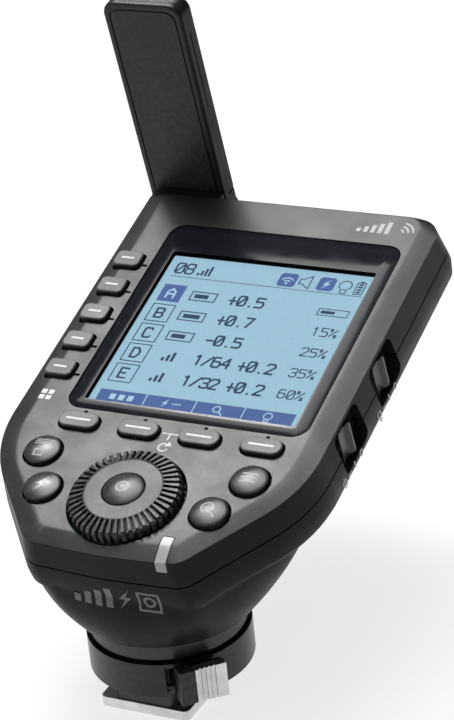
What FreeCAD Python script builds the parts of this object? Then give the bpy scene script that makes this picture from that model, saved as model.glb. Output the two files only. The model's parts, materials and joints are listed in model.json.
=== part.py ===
"""Wireless flash trigger that slides into a camera's hot shoe.

Device frame, in millimetres: +X is the user's right, +Y points away from the user, +Z points up out of
the hot shoe. The origin is the centre of the shoe foot's bottom face.
Most pieces are drawn in the panel frame, whose X runs across the control panel, Y runs up the panel from
the dial's centre and Z stands out of the panel. place_on_panel() tips and lifts them into the device frame.
"""
import FreeCAD, Part
import math
import os

V = FreeCAD.Vector

# ---- driving dimensions ----
PANEL_TILT = 17.7          # degrees between the panel and the shoe foot
DIAL_Y, DIAL_Z = -6.8, 44.5  # the dial's centre on the panel, in the device frame

CREASE_HALF = 31.8         # the panel's right edge crease, from the dial's centre
CREASE_LEFT = 33.1         # and its left edge crease
PANEL_TOP = 83.4           # panel's far edge, up from the dial's centre
PANEL_BOTTOM = -13.4       # panel's near edge
TAPER_START = 8.6          # where the straight sides and the taper would meet
NEAR_HALF = 15.6           # half width where the taper meets the near end
SEAM = -6.4                # parting line between the shells
SEAM_GAP = 0.3
SLAB_BOTTOM = -13.6
WALL = 1.8                 # panel and belly thickness
SIDE_IN = 0.9              # how far the side walls' inner face is inside the crease line
BELLY_HALF = 18.5          # half width of the battery belly's flat
BELLY_BOTTOM = -26.6
BELLY_LOW, BELLY_HIGH = 23.0, 82.0

WINDOW = (-23.3, 27.3, 20.3, 73.8)   # left, right, bottom, top
WINDOW_CORNER = 3.4
LCD_VIEW = (-20.0, 24.2, 23.1, 65.8)

GROUP_X = -28.1
GROUP_TOP = 61.4
GROUP_PITCH = 7.98
GROUP_SIZE = (5.8, 4.3)
SOFT_X = -17.8
SOFT_PITCH = 12.72
SOFT_Y = 16.6
SOFT_SIZE = (8.3, 3.9)
ROUND_WELL_R = 4.05
ROUND_CAP_R = 3.6
ROUND_BUTTONS = {"mode_button": (-21.5, 8.1), "test_button": (-17.2, -0.7),
                 "menu_button": (21.5, 8.1), "zoom_button": (17.2, -0.7)}
CAP_GAP = 0.35             # clearance around every button cap
CAP_PROUD = 1.0            # how far the caps stand above the panel

DIAL_WELL_R = 11.4
DIAL_R = 10.8
DIAL_FACE_R = 7.3
DIAL_TOP = 2.5
DIAL_RIBS = 46
SET_HOLE_R = 4.2
SET_CAP_R = 3.95

SWITCH_Y = {"power_switch": 26.4, "lamp_switch": 44.2}   # slider centres, up the panel
SWITCH_SLOT = (11.0, 9.0)  # recess length and height
RECESS_TOP = -1.7
RECESS_FLOOR = 30.4
RECESS_BACK = 29.4         # inner face of the wall behind the recesses
SWITCH_TRAVEL = 3.6

CELL_R, CELL_LENGTH = 7.2, 50.0
CELL_Z = -17.4             # cell centres, in the panel frame
CELL_Y = 28.2              # where the cells start
DOOR = (-16.0, 16.0, 26.0)   # the door's left, right and near edges

FOOT_X, FOOT_Y, FOOT_T = 18.6, 20.0, 2.0
COLLAR_Y = 3.1             # the lock collar's axis, in the device frame
SLEEVE_R, SLEEVE_LOW, SLEEVE_HIGH = 15.85, 5.7, 12.8
STEM_R = 9.0
NECK_R = 15.1
NECK_TOP = 17.4
RUNNING = 0.05             # radial clearance of pins and shafts that turn
LEVER_FACE = 19.4          # from the collar's axis to the lever's flat face
LEVER_TURN = (-57.8, -30.8)  # azimuths of the lever's two ends, in degrees
LOCK_PIN_Y = 8.4

ANTENNA_X = (-34.6, -17.15)
EAR_X = (-31.8, -19.4)      # outer faces of the hinge's two ears
ANTENNA_FRONT = 84.5       # the blade's front face, up the panel
ANTENNA_T = 4.8
ANTENNA_SPLIT = 86.3       # parting plane between the blade's halves
ANTENNA_TOP = 44.2
ANTENNA_LEAN = 3.5         # degrees back from square to the panel
HINGE_Y, HINGE_Z = ANTENNA_FRONT + ANTENNA_T / 2, -6.2
HOOD_BACK = PANEL_TOP + 0.8
EAR, EAR_R, PIN_R = 2.1, 3.1, 0.8
SHOULDER = -2.4            # the blade's back half starts here
PIN_REACH = 1.4            # how far the hinge pin runs into the blade, past each ear

BOARD_LOW, BOARD_HIGH = -7.2, -6.0
PLUNGER_TOP = -4.35
STEM_LOW = -3.75           # foot of every button's stem
SKIRT_R = 9.6              # inside of the dial's skirt, which turns on the encoder
JACK_R, JACK_BODY_R = 1.3, 2.3
STEM_TOP = 20.0
FUNNEL_TOP_R = 17.2         # neck funnel, where it meets the collar
FUNNEL_STEPS = (0.0, 0.3, 0.65, 1.0)   # shares of the way from the neck to the housing
FUNNEL_POINTS = 36
SWITCH_BODY_X = (26.8, 28.9)   # slide switches, between the screen's frame and the right wall
BOSS_R, BOSS_LOW, SEAT_R = 2.0, -8.8, 3.4   # screw bosses: nose through the board, and the seats it rests on
LOCK_PIN_R = 1.1
LEVER_BACK = 16.3


# ---- helpers ----
def box(x0, x1, y0, y1, z0, z1):
    return Part.makeBox(x1 - x0, y1 - y0, z1 - z0, V(x0, y0, z0))


def cylinder(x, y, z0, z1, radius):
    return Part.makeCylinder(radius, z1 - z0, V(x, y, z0))


def cylinder_x(x0, x1, y, z, radius):
    return Part.makeCylinder(radius, x1 - x0, V(x0, y, z), V(1, 0, 0))


def ring(x, y, z0, z1, outer, inner):
    return cylinder(x, y, z0, z1, outer).cut(cylinder(x, y, z0 - 1, z1 + 1, inner))


def cross_slot(x, y, reach, half, z0, z1):
    """Tool for a screw head's cross recess."""
    first = box(x - reach, x + reach, y - half, y + half, z0, z1)
    return first.fuse(box(x - half, x + half, y - reach, y + reach, z0, z1))


def rounded_wire(points, radii, z):
    """A closed polygon at height z with each corner rounded to its own radius."""
    corners = []
    count = len(points)
    for i in range(count):
        corner = V(points[i][0], points[i][1], z)
        back = V(points[i - 1][0], points[i - 1][1], z) - corner
        ahead = V(points[(i + 1) % count][0], points[(i + 1) % count][1], z) - corner
        back.normalize()
        ahead.normalize()
        half = back.getAngle(ahead) / 2
        reach = radii[i] / math.tan(half)
        middle = back + ahead
        middle.normalize()
        bulge = corner + middle * (radii[i] / math.sin(half) - radii[i])
        corners.append((corner + back * reach, bulge, corner + ahead * reach))
    edges = []
    for i in range(count):
        start, middle, end = corners[i]
        edges.append(Part.Arc(start, middle, end).toShape())
        edges.append(Part.LineSegment(end, corners[(i + 1) % count][0]).toShape())
    return Part.Wire(edges)


def rounded_box(x0, x1, y0, y1, z0, z1, radius):
    wire = rounded_wire([(x0, y0), (x1, y0), (x1, y1), (x0, y1)], [radius] * 4, z0)
    return Part.Face(wire).extrude(V(0, 0, z1 - z0))


def centred_pad(x, y, size, z0, z1, grow=0.0, radius=None):
    half_x = size[0] / 2 + grow
    half_y = size[1] / 2 + grow
    corner = radius if radius else min(1.2, half_y - 0.1)
    return rounded_box(x - half_x, x + half_x, y - half_y, y + half_y, z0, z1, corner)


def body_wire(z, inset, top_inset=None, near_inset=None):
    """The housing's outline at height z, drawn in from the crease by inset."""
    top = PANEL_TOP - (inset if top_inset is None else top_inset)
    near = PANEL_BOTTOM + (inset if near_inset is None else near_inset)
    half = CREASE_HALF - inset
    left = inset - CREASE_LEFT
    narrow = NEAR_HALF - 0.55 * inset
    points = [(narrow, near + 0.8), (half, TAPER_START), (half, top), (left, top),
              (left, TAPER_START), (-narrow, near + 0.8), (0, near)]
    shrink = max(inset, 0)
    near_corner, waist = 5.0 - 0.5 * shrink, 26.0 - shrink
    radii = [near_corner, waist, 5.5 - 0.6 * shrink, 1.6, waist, near_corner, 60.0]
    return rounded_wire(points, radii, z)


def ruled_loft(wires):
    return Part.makeLoft(wires, True, True)


def place_on_panel(shape):
    shape.rotate(V(0, 0, 0), V(1, 0, 0), PANEL_TILT)
    shape.translate(V(0, DIAL_Y, DIAL_Z))
    return shape


def on_panel(y, z):
    """Device-frame Y and Z of a panel-frame point."""
    tilt = math.radians(PANEL_TILT)
    return (DIAL_Y + y * math.cos(tilt) - z * math.sin(tilt),
            DIAL_Z + y * math.sin(tilt) + z * math.cos(tilt))


def to_panel(shape):
    """Bring a device-frame shape into the panel frame."""
    shape.translate(V(0, -DIAL_Y, -DIAL_Z))
    shape.rotate(V(0, 0, 0), V(1, 0, 0), -PANEL_TILT)
    return shape


def fuse_all(shapes):
    result = shapes[0].multiFuse(shapes[1:]) if len(shapes) > 1 else shapes[0]
    return result.removeSplitter()


def round_edges(shape, radius, wanted):
    """Fillet the edges that wanted() picks."""
    edges = [edge for edge in shape.Edges if wanted(edge)]
    return shape.makeFillet(radius, edges)


def at_height(z):
    def test(edge):
        return all(abs(vertex.Z - z) < 1e-3 for vertex in edge.Vertexes)
    return test


def at_depth(y):
    def test(edge):
        return all(abs(vertex.Y - y) < 1e-3 for vertex in edge.Vertexes)
    return test


def save(name, shape, panel=True):
    if panel:
        shape = place_on_panel(shape)
    shape.exportStep("parts/" + name + ".step")
    solids = shape.Solids
    print(name, "solids", len(solids), "volume", round(shape.Volume, 2), "valid", shape.isValid())


# ---- housing ----
SCREWS = [(-27.8, 15.0), (27.8, 15.0), (-27.6, 76.5), (27.6, 76.5)]
JACK_Y, USB_Y, SOCKET_Z = 27.0, 41.0, -9.6
FOCUS_Z, FOCUS_R = 21.4, 3.3   # lamp window on the far side of the neck, in the device frame


def upper_outer(grow=0.0):
    return ruled_loft([body_wire(SEAM, -0.8 - grow), body_wire(-1.0, 0.0), body_wire(-0.5, 1.9, 0.35, 1.6),
                       body_wire(-0.1, 3.5, 0.7, 3.0), body_wire(0.0, 4.3, 1.0, 3.7)])


def recess_span(centre, grow=0.0):
    """Ends of a switch's recess, up the panel: the slider rests towards its near end."""
    middle = centre + 1.3
    half = SWITCH_SLOT[0] / 2 + grow
    return middle - half, middle + half


def switch_recess(centre):
    """Recess for one slide switch, across the seam of the right wall."""
    near, far = recess_span(centre)
    pocket = box(RECESS_FLOOR, RECESS_FLOOR + 6, near, far, RECESS_TOP - SWITCH_SLOT[1], RECESS_TOP)
    return round_edges(pocket, 1.6, lambda edge: abs(edge.tangentAt(edge.FirstParameter).x) > 0.99)


def recess_backing(centre, z0, z1):
    """Thicker stretch of wall that holds a recess's floor."""
    near, far = recess_span(centre, 1.0)
    return box(RECESS_BACK, CREASE_HALF - 0.3, near, far, z0, z1)


def switch_window(centre):
    """Slot through a recess's floor, for the slider's stem."""
    return box(RECESS_BACK - 0.6, RECESS_FLOOR + 1, centre - 1.6, centre + SWITCH_TRAVEL + 1.6, -7.9, -4.5)


def status_slot(gap):
    """Slanted slot for the light strip, from beside the dial over the near edge."""
    points = [(10.9 - gap, -7.3 + gap), (13.2 + gap, -7.3 + gap), (13.9 + gap, -20), (11.6 - gap, -20)]
    corners = [V(x, y, -3.2 - gap) for x, y in points]
    return Part.Face(Part.makePolygon(corners + corners[:1])).extrude(V(0, 0, 6))


def panel_openings():
    cuts = [rounded_box(*WINDOW, -1.35, 1, WINDOW_CORNER), grown_view(1.4, -3, 1)]
    for i in range(5):
        y = GROUP_TOP - i * GROUP_PITCH
        cuts.append(centred_pad(GROUP_X, y, GROUP_SIZE, -3, 1, CAP_GAP))
        cuts.append(box(GROUP_X + 2, WINDOW[0] - 0.4, y - 1.1, y - 0.5, -0.5, 1))
    for i in range(4):
        x = SOFT_X + i * SOFT_PITCH
        cuts.append(centred_pad(x, SOFT_Y, SOFT_SIZE, -3, 1, CAP_GAP, SOFT_SIZE[1] / 2 + CAP_GAP - 0.05))
        cuts.append(box(x - 0.35, x + 0.35, SOFT_Y + 1.8, WINDOW[2] - 0.5, -0.5, 1))
    for x, y in ROUND_BUTTONS.values():
        cuts.append(cylinder(x, y, -3, 1, ROUND_WELL_R))
    cuts.append(cylinder(0, 0, -3, 1, DIAL_WELL_R))
    return cuts


def build_top_shell():
    outer = upper_outer()
    inner = ruled_loft([body_wire(SEAM - 1, SIDE_IN - 0.6), body_wire(-WALL, SIDE_IN)])
    shell = outer.cut(inner)
    bosses = [cylinder(x, y, BOSS_LOW, -WALL + 0.2, BOSS_R) for x, y in SCREWS]
    bosses += [cylinder(x, y, BOARD_HIGH, -WALL + 0.2, SEAT_R) for x, y in SCREWS]
    backings = [recess_backing(y, SEAM, -WALL + 0.1) for y in SWITCH_Y.values()]
    shell = fuse_all([shell] + bosses + backings)
    cuts = panel_openings()
    cuts += [switch_recess(y) for y in SWITCH_Y.values()]
    cuts += [switch_window(y) for y in SWITCH_Y.values()]
    cuts += [cylinder(x, y, -9.5, -3.0, 0.8) for x, y in SCREWS]
    cuts.append(status_slot(0.06))
    return shell.cut(Part.makeCompound(cuts)).removeSplitter()


def outline_reach(wire, centre, side, ahead):
    """Distance from centre to the closed wire, in the direction (side, ahead)."""
    far = centre + V(side, ahead, 0) * 200
    touch = Part.LineSegment(centre, far).toShape().distToShape(wire)
    return centre.distanceToPoint(touch[1][0][0])


def funnel_section(share, inset):
    """Points of the neck funnel, from the neck circle (share 0) to the housing's near half (share 1)."""
    high = -9.0
    outline = body_wire(high, -0.9)
    centre = V(0, 10.0, high)
    bulge = 1.6 * math.sin(math.pi * share)
    points = []
    for i in range(FUNNEL_POINTS):
        turn = 2 * math.pi * i / FUNNEL_POINTS
        side, ahead = math.cos(turn), math.sin(turn)
        near = V((FUNNEL_TOP_R - inset) * side, COLLAR_Y + (FUNNEL_TOP_R - inset) * ahead, NECK_TOP)
        reach = outline_reach(outline, centre, side, ahead) - 0.8 - inset
        if ahead > 0:
            reach = min(reach, (32.0 - 8.0 * ahead - inset))
        y, z = on_panel(centre.y + reach * ahead, high)
        wide = V(reach * side, y, z)
        points.append(near * (1 - share) + wide * share + V(side, ahead, 0) * bulge)
    curve = Part.BSplineCurve()
    curve.interpolate(Points=points, PeriodicFlag=True)
    return Part.Wire([curve.toShape()])


def funnel(inset, shares):
    return Part.makeLoft([funnel_section(share, inset) for share in shares], True, False)


def belly_wire(z, half, low, far, radius):
    return rounded_wire([(-half, low), (half, low), (half, far), (-half, far)], [radius] * 4, z)


def lower_outer():
    """Slab under the seam, battery belly and neck funnel, as one solid."""
    slab = ruled_loft([body_wire(SEAM - SEAM_GAP, -0.85), body_wire(-9.0, -1.2), body_wire(-11.8, -1.0),
                       body_wire(-13.0, -0.2), body_wire(SLAB_BOTTOM, 1.0)])
    far = BELLY_HIGH + 0.4
    belly = ruled_loft([belly_wire(SLAB_BOTTOM + 1.5, 31.0, 14.0, far, 5.0),
                        belly_wire(SLAB_BOTTOM, 30.6, 15.0, far, 5.0),
                        belly_wire(BELLY_BOTTOM + 2.0, BELLY_HALF + 2.2, BELLY_LOW, BELLY_HIGH + 0.2, 4.0),
                        belly_wire(BELLY_BOTTOM + 0.6, BELLY_HALF + 0.6, BELLY_LOW + 0.8, BELLY_HIGH, 3.5),
                        belly_wire(BELLY_BOTTOM, BELLY_HALF - 0.6, BELLY_LOW + 1.8, BELLY_HIGH - 0.6, 3.0)])
    return fuse_all([slab, belly, to_panel(funnel(0.0, FUNNEL_STEPS))])


def lower_inner():
    slab = ruled_loft([body_wire(SEAM, SIDE_IN - 0.45), body_wire(-10.8, SIDE_IN - 0.5),
                       body_wire(SLAB_BOTTOM + WALL, SIDE_IN + 1.6)])
    far = BELLY_HIGH - 1.4
    belly = ruled_loft([belly_wire(SLAB_BOTTOM + 2.2, 29.0, 16.5, far, 3.5),
                        belly_wire(SLAB_BOTTOM, 28.4, 17.5, far, 3.5),
                        belly_wire(BELLY_BOTTOM + WALL, BELLY_HALF - 1.2, BELLY_LOW + 2.2, far, 2.0)])
    neck = cylinder(0, COLLAR_Y, NECK_TOP - 1, NECK_TOP + 1.8, NECK_R + 0.05)
    return [slab, belly, to_panel(funnel(2.0, FUNNEL_STEPS)), to_panel(neck)]


def antenna_bracket():
    """Hood behind the far edge, rolled off like the panel's left edge, and the hinge's two ears."""
    right, low, high, near = ANTENNA_X[1] + 0.2, -11.5, -0.15, PANEL_TOP - 0.6
    outline = [(-CREASE_LEFT, low), (right, low), (right, high), (-28.9, high), (-31.2, high - 0.45),
               (-CREASE_LEFT, -1.1)]
    corners = [V(x, near, z) for x, z in outline]
    hood = Part.Face(Part.makePolygon(corners + corners[:1])).extrude(V(0, HOOD_BACK - near, 0))
    pieces = [hood.cut(upper_outer(0.05))]
    for x in (EAR_X[0], EAR_X[1] - EAR):
        pieces.append(cylinder_x(x, x + EAR, HINGE_Y, HINGE_Z, EAR_R))
        pieces.append(box(x, x + EAR, HOOD_BACK - 0.1, HINGE_Y, HINGE_Z - EAR_R, HINGE_Z + EAR_R))
    return pieces


def seam_lip():
    """Tongue on the lower shell that stands inside the upper shell's wall."""
    low = ruled_loft([body_wire(SEAM - 2.6, 0.3), body_wire(SEAM - SEAM_GAP, 0.3)])
    high = ruled_loft([body_wire(SEAM - SEAM_GAP, SIDE_IN - 0.45), body_wire(SEAM + 1.1, SIDE_IN - 0.35)])
    lip = fuse_all([low, high])
    lip = lip.cut(ruled_loft([body_wire(SEAM - 3.5, 1.5), body_wire(SEAM + 2.0, 1.5)]))
    clear = [box(20, 40, y - 8, y + 10, -12, 0) for y in SWITCH_Y.values()]
    clear += [cylinder(x, y, -12, 0, 3.6) for x, y in SCREWS]
    clear.append(box(ANTENNA_X[0] - 1, ANTENNA_X[1] + 1, PANEL_TOP - 3.2, PANEL_TOP + 2, -12, 0))
    clear.append(status_slot(0.6))
    return lip.cut(Part.makeCompound(clear))


def build_bottom_shell():
    shell = lower_outer()
    for cavity in lower_inner():
        shell = shell.cut(cavity)
    shell = fuse_all([shell, seam_lip()] + antenna_bracket())
    seats = [cylinder(x, y, SLAB_BOTTOM + 0.5, BOARD_LOW, SEAT_R) for x, y in SCREWS]
    backings = [recess_backing(y, SLAB_BOTTOM + WALL, SEAM - SEAM_GAP) for y in SWITCH_Y.values()]
    shell = fuse_all([shell] + seats + backings)
    cuts = [cylinder_x(EAR_X[0] - 1, EAR_X[1] + 1, HINGE_Y, HINGE_Z, PIN_R)]
    cuts.append(box(DOOR[0] - 0.25, DOOR[1] + 0.25, DOOR[2] - 0.25, PANEL_TOP + 2,
                    BELLY_BOTTOM - 1, BELLY_BOTTOM + 1.9))
    cuts += [switch_recess(y) for y in SWITCH_Y.values()]
    cuts += [switch_window(y) for y in SWITCH_Y.values()]
    cuts.append(cylinder_x(-36, -28, JACK_Y, SOCKET_Z, JACK_BODY_R + 0.05))
    cuts.append(rounded_slot_x(-36, -28, USB_Y, SOCKET_Z, 4.75, 1.85))
    for x, y in SCREWS:
        cuts.append(cylinder(x, y, BOSS_LOW - 0.1, BOARD_LOW + 1, BOSS_R + RUNNING))
        cuts.append(cylinder(x, y, -16, BOSS_LOW, 0.95))
        cuts.append(cylinder(x, y, -30, -11.2, 1.9))
    lamp = Part.makeCylinder(FOCUS_R + 0.05, 14, V(0, COLLAR_Y + 12, FOCUS_Z), V(0, 1, 0))
    cuts.append(to_panel(lamp))
    return shell.cut(Part.makeCompound(cuts)).removeSplitter()


def rounded_slot_x(x0, x1, y, z, half_long, half_short):
    """Stadium bar along X, long side along the panel's Y."""
    ends = [cylinder_x(x0, x1, y + side * (half_long - half_short), z, half_short) for side in (-1, 1)]
    straight = half_long - half_short
    middle = box(x0, x1, y - straight, y + straight, z - half_short, z + half_short)
    return fuse_all([middle] + ends)


# ---- display and boards ----
def grown_view(grow, z0, z1):
    """Slab of the screen's outline, grown all round."""
    left, right, bottom, top = LCD_VIEW
    return rounded_box(left - grow, right + grow, bottom - grow, top + grow, z0, z1, 1.0)


def build_display():
    gap = 0.12
    left, right, bottom, top = WINDOW
    plate = rounded_box(left + gap, right - gap, bottom + gap, top - gap, -1.3, -0.1, WINDOW_CORNER - gap)
    save("display_window", plate)
    save("lcd_panel", grown_view(1.2, -3.3, -1.42))
    frame = grown_view(2.5, -5.2, -2.0).cut(grown_view(1.25, -3.35, 0))
    save("lcd_frame", frame)


def build_boards():
    board = Part.Face(body_wire(BOARD_LOW, 2.3)).extrude(V(0, 0, BOARD_HIGH - BOARD_LOW))
    cuts = [cylinder(x, y, -9, 0, BOSS_R + RUNNING) for x, y in SCREWS]
    cuts.append(box(25.6, 35, 19.0, 54.0, -9, 0))
    cuts.append(status_slot(0.8))
    save("main_board", board.cut(Part.makeCompound(cuts)))
    chips = [box(-18, -10, 2, 10, -8.2, BOARD_LOW), box(8, 14, 0, 6, -8.1, BOARD_LOW),
             box(-6, 4, -6, -1, -8.4, BOARD_LOW), box(15, 21, 58, 64, -8.1, BOARD_LOW)]
    save("board_chips", Part.makeCompound(chips))
    save("buzzer", cylinder(-17, 16.5, -9.4, BOARD_LOW, 4.2).cut(cylinder(-17, 16.5, -10, -9.0, 0.8)))
    save("radio_board", box(-9, 18, 70.6, 80.4, -5.5, -4.7))
    can = box(-7, 12, 71.2, 79.8, -4.7, -2.4).cut(box(-6.8, 11.8, 71.4, 79.6, -4.7, -2.6))
    save("radio_can", can)
    keys = [(GROUP_X + 0.3, GROUP_TOP - i * GROUP_PITCH, 3.0) for i in range(5)]
    keys += [(SOFT_X + i * SOFT_PITCH, SOFT_Y, 3.0) for i in range(4)]
    keys += [(x, y, 4.0) for x, y in ROUND_BUTTONS.values()]
    keys.append((0, 0, 4.0))
    switches = []
    for x, y, size in keys:
        base = box(x - size / 2, x + size / 2, y - size / 2, y + size / 2, BOARD_HIGH, PLUNGER_TOP - 0.5)
        switches.append(base.fuse(cylinder(x, y, PLUNGER_TOP - 0.6, PLUNGER_TOP, 0.9)))
    save("tact_switches", Part.makeCompound(switches))


# ---- controls ----
def key_stem(x, y, top):
    return cylinder(x, y, STEM_LOW, top, 1.0)


def build_group_button(index):
    y = GROUP_TOP - index * GROUP_PITCH
    cap = centred_pad(GROUP_X, y, GROUP_SIZE, -1.2, CAP_PROUD)
    cap = round_edges(cap, 0.35, at_height(CAP_PROUD))
    body = box(GROUP_X - 2.2, GROUP_X + 2.6, y - 1.7, y + 1.7, -2.7, -1.1)
    flange = box(GROUP_X - 2.2, GROUP_X + 3.5, y - 2.7, y + 2.7, -2.7, -2.0)
    save("group_button_%d" % (index + 1), fuse_all([cap, body, flange, key_stem(GROUP_X + 0.3, y, -2.6)]))


def build_soft_key(index):
    x = SOFT_X + index * SOFT_PITCH
    cap = centred_pad(x, SOFT_Y, SOFT_SIZE, -1.2, CAP_PROUD, 0, SOFT_SIZE[1] / 2 - 0.05)
    cap = round_edges(cap, 0.35, at_height(CAP_PROUD))
    body = box(x - 3.4, x + 3.4, SOFT_Y - 1.4, SOFT_Y + 1.4, -2.7, -1.1)
    flange = box(x - 4.9, x + 4.9, SOFT_Y - 2.4, SOFT_Y + 2.4, -2.7, -2.0)
    seats = [cylinder(seat_x, seat_y, -3, -1, SEAT_R + 0.2) for seat_x, seat_y in SCREWS]
    flange = flange.cut(Part.makeCompound(seats))
    save("soft_key_%d" % (index + 1), fuse_all([cap, body, flange, key_stem(x, SOFT_Y, -2.6)]))


def domed(x, y, z0, edge, top, radius):
    """Cylinder with a shallow spherical top."""
    rise = top - edge
    ball = (radius * radius + rise * rise) / (2 * rise)
    sphere = Part.makeSphere(ball, V(x, y, top - ball))
    limit = fuse_all([sphere, cylinder(x, y, z0 - 1, edge, radius + 1)])
    return cylinder(x, y, z0, top + 0.5, radius).common(limit)


def build_round_button(name):
    x, y = ROUND_BUTTONS[name]
    cap = domed(x, y, -2.7, 0.75, 1.35, ROUND_CAP_R)
    flange = cylinder(x, y, -2.7, -2.0, 4.5)
    save(name, fuse_all([cap, flange, key_stem(x, y, -2.6)]))


def build_dial():
    profile = [(SET_HOLE_R, 1.2), (SET_HOLE_R, DIAL_TOP - 0.1), (DIAL_FACE_R, DIAL_TOP - 0.1),
               (DIAL_FACE_R + 0.3, DIAL_TOP + 0.1), (10.3, 1.9), (DIAL_R, 1.2), (DIAL_R, -1.3),
               (SKIRT_R, -1.3), (SKIRT_R, 1.2)]
    corners = [V(x, 0, z) for x, z in profile]
    knob = Part.Face(Part.makePolygon(corners + corners[:1])).revolve(V(0, 0, 0), V(0, 0, 1), 360)
    groove = [(DIAL_FACE_R + 0.2, 2.75), (DIAL_FACE_R + 0.4, 1.95), (10.15, 0.95), (10.15, -0.9),
              (11.3, -0.9), (11.3, 2.75)]
    corners = [V(x, -0.35, z) for x, z in groove]
    tool = Part.Face(Part.makePolygon(corners + corners[:1])).extrude(V(0, 0.7, 0))
    tools = []
    for i in range(DIAL_RIBS):
        turned = tool.copy()
        turned.rotate(V(0, 0, 0), V(0, 0, 1), 360.0 * i / DIAL_RIBS)
        tools.append(turned)
    save("control_dial", knob.cut(Part.makeCompound(tools)))
    cap = domed(0, 0, -2.7, 2.45, 3.2, SET_CAP_R)
    save("set_button", fuse_all([cap, key_stem(0, 0, -2.6)]))
    encoder = ring(0, 0, BOARD_HIGH, 0.9, SKIRT_R - RUNNING, 4.7)
    save("dial_encoder", encoder)


def build_switches():
    bodies = []
    scoop = [(0.15, -2.2), (1.6, -2.2), (1.25, -1.3), (1.25, 0.6), (2.05, 1.6), (2.05, 2.2), (0.15, 2.2)]
    for name, y in SWITCH_Y.items():
        corners = [V(RECESS_FLOOR + out, y + along, -9.9) for out, along in scoop]
        knob = Part.Face(Part.makePolygon(corners + corners[:1])).extrude(V(0, 0, 7.2))
        stem = box(29.2, RECESS_FLOOR + 0.2, y - 1.2, y + 1.2, -7.5, -4.9)
        save(name, fuse_all([knob, stem]))
        bodies.append(box(SWITCH_BODY_X[0], SWITCH_BODY_X[1], y - 3.8, y + 7.4, -9.0, -4.6))
    save("switch_bodies", Part.makeCompound(bodies))


def build_status_light():
    save("status_light", upper_outer().common(status_slot(-0.06)))


# ---- power, sockets and lamp ----
def build_power():
    tray = fuse_all([box(-17, 17, 24.6, 80.0, -9.6, -8.8), box(-17, 17, 24.6, 25.5, -22, -9.5)])
    save("battery_tray", tray)
    cells = []
    for side in (-1, 1):
        x = side * (CELL_R + 0.3)
        cell = Part.makeCylinder(CELL_R, CELL_LENGTH, V(x, CELL_Y, CELL_Z), V(0, 1, 0))
        nub_y = CELL_Y + CELL_LENGTH if side > 0 else CELL_Y - 1.1
        nub = Part.makeCylinder(2.7, 1.1, V(x, nub_y, CELL_Z), V(0, 1, 0))
        cells.append(cell.fuse(nub))
    save("aa_cells", Part.makeCompound(cells))
    plates = [box(-15, 15, 79.7, 80.1, CELL_Z - 5, CELL_Z + 5)]
    plates += [box(x - 5, x + 5, 25.6, 26.0, CELL_Z - 5, CELL_Z + 5) for x in (-7.5, 7.5)]
    save("battery_plates", Part.makeCompound(plates))
    springs = []
    for x, y in ((7.5, 26.2), (-7.5, 78.35)):
        helix = Part.makeHelix(0.6, 1.2, 2.6)
        circle = Part.Wire([Part.makeCircle(0.2, V(2.6, 0, 0), V(0, 1, 0))])
        coil = Part.Wire(helix.Edges).makePipeShell([circle], True, True)
        coil.rotate(V(0, 0, 0), V(1, 0, 0), -90)
        coil.translate(V(x, y, CELL_Z))
        springs.append(coil)
    save("battery_springs", Part.makeCompound(springs))
    left, right, near = DOOR
    door = rounded_box(left, right, near, BELLY_HIGH - 0.7, BELLY_BOTTOM + 0.05, BELLY_BOTTOM + 1.6, 0.8)
    grips = [box(-8, 8, y - 0.4, y + 0.4, BELLY_BOTTOM - 1, BELLY_BOTTOM + 0.5)
             for y in (30.0, 32.0, 34.0, 36.0)]
    save("battery_door", door.cut(Part.makeCompound(grips)))


def build_sockets():
    wall_x = -CREASE_LEFT - 1.0
    usb = rounded_slot_x(wall_x + 0.3, -24.0, USB_Y, SOCKET_Z, 4.7, 1.8)
    usb = usb.cut(rounded_slot_x(wall_x, -26.0, USB_Y, SOCKET_Z, 4.3, 1.4))
    tongue = box(wall_x + 1.2, -25.9, USB_Y - 3.3, USB_Y + 3.3, SOCKET_Z - 0.35, SOCKET_Z + 0.35)
    save("usb_socket", fuse_all([usb, tongue]))
    jack = cylinder_x(wall_x + 0.3, -22.0, JACK_Y, SOCKET_Z, JACK_BODY_R)
    save("sync_jack", jack.cut(cylinder_x(wall_x, -23.0, JACK_Y, SOCKET_Z, JACK_R)))


def build_focus_lamp():
    start, end = COLLAR_Y + NECK_R + 0.1, COLLAR_Y + 19.0
    lens = Part.makeCylinder(FOCUS_R, end - start, V(0, start, FOCUS_Z), V(0, 1, 0))
    ball = 9.0
    sphere = Part.makeSphere(ball, V(0, end + 0.6 - ball, FOCUS_Z))
    back = Part.makeBox(20, 6, 20, V(-10, COLLAR_Y + 10, FOCUS_Z - 10))
    save("focus_lamp", lens.common(fuse_all([sphere, back])), panel=False)


# ---- antenna ----
def lean(shape):
    shape.rotate(V(0, HINGE_Y, HINGE_Z), V(1, 0, 0), -ANTENNA_LEAN)
    return shape


def blade_slab(y0, y1, inset, top_drop, low):
    """Flat blade with rounded top corners, standing up from z = low."""
    left, right = ANTENNA_X[0] + inset, ANTENNA_X[1] - inset
    top = ANTENNA_TOP - top_drop
    wire = rounded_wire([(left, low), (right, low), (right, top), (left, top)],
                        [0.5, 0.5, 3.0 - inset / 2, 3.0 - inset / 2], 0)
    slab = Part.Face(wire).extrude(V(0, 0, y1 - y0))
    slab.rotate(V(0, 0, 0), V(1, 0, 0), 90)
    slab.translate(V(0, y1, 0))
    return slab


def between(shape, z0, z1):
    """The part of a blade shape between two heights."""
    return shape.common(box(-50, 0, 60, 110, z0, z1))


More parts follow.
